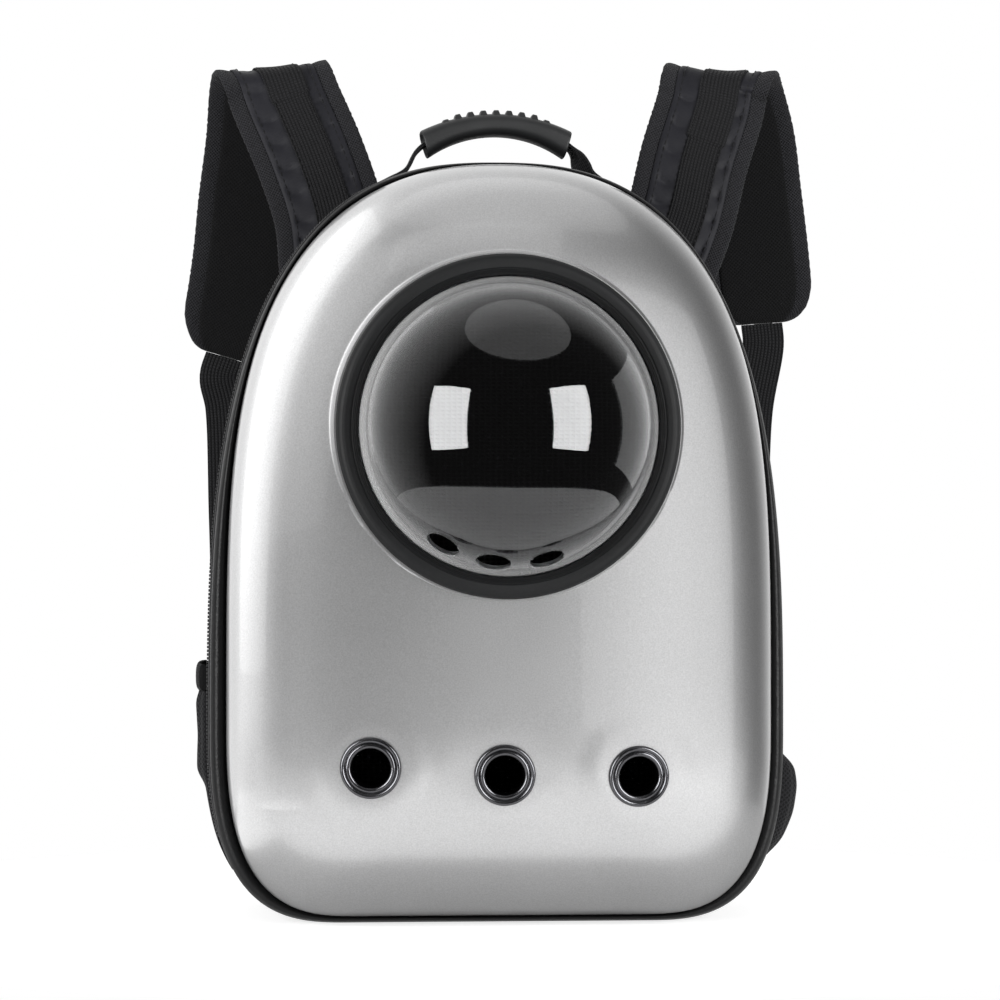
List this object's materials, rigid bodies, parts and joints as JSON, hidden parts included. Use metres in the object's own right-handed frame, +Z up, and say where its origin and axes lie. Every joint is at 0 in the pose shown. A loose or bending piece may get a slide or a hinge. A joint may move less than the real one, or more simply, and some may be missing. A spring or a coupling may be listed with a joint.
{
  "type": "pet carrier backpack",
  "caption": "Pet carrier backpack: hard arched front with a round clear dome window and eyelet vents, soft zipped body, padded straps and a ribbed top handle.",
  "frame": {"origin": "middle of the soft body's flat underside, on the floor that it stands on", "axes": "+X to the right seen from the front, +Y back towards the wearer, +Z up; the dome points along -Y"},
  "size_m": [0.3785, 0.3629, 0.4947],
  "materials": {
    "silver_shell": "glossy silver lacquer with a fine metal flake",
    "ring_plastic": "satin black with turned grooves",
    "smoky_dome": "polished clear acrylic with a light smoke tint",
    "gunmetal": "polished gunmetal plating",
    "band_leatherette": "black leatherette with a soft sheen",
    "piping_vinyl": "black glossy vinyl cord",
    "body_fabric": "black woven polyester",
    "panel_mesh": "black padded air mesh",
    "zip_tape_fabric": "black herringbone zip tape",
    "zip_coil_nylon": "black nylon coil",
    "webbing": "black ribbed webbing",
    "grip_rubber": "dark grey moulded rubber",
    "strap_nylon": "black smooth nylon over foam",
    "strap_binding": "black mesh edge binding, a little puckered",
    "pocket_mesh": "black stretch mesh",
    "pocket_hem": "black gathered elastic hem"
  },
  "bodies": {
    "root": {"front_shell": "silver_shell", "window_ring": "ring_plastic", "window_dome": "smoky_dome", "vent_grommet_left": "gunmetal", "vent_grommet_middle": "gunmetal", "vent_grommet_right": "gunmetal", "rim_band": "band_leatherette", "front_piping": "piping_vinyl", "rear_piping": "piping_vinyl", "gusset": "body_fabric", "back_panel": "panel_mesh", "zip_tape": "zip_tape_fabric", "zip_coil": "zip_coil_nylon", "handle_webbing": "webbing", "handle_grip": "grip_rubber", "shoulder_strap_left": "strap_nylon", "shoulder_strap_right": "strap_nylon", "strap_binding_left_inner": "strap_binding", "strap_binding_left_outer": "strap_binding", "strap_binding_right_inner": "strap_binding", "strap_binding_right_outer": "strap_binding", "strap_webbing_left": "webbing", "strap_webbing_right": "webbing", "tail_webbing_left": "webbing", "tail_webbing_right": "webbing", "side_pocket_left": "pocket_mesh", "side_pocket_right": "pocket_mesh", "pocket_hem_left": "pocket_hem", "pocket_hem_right": "pocket_hem"}
  },
  "joints": []
}
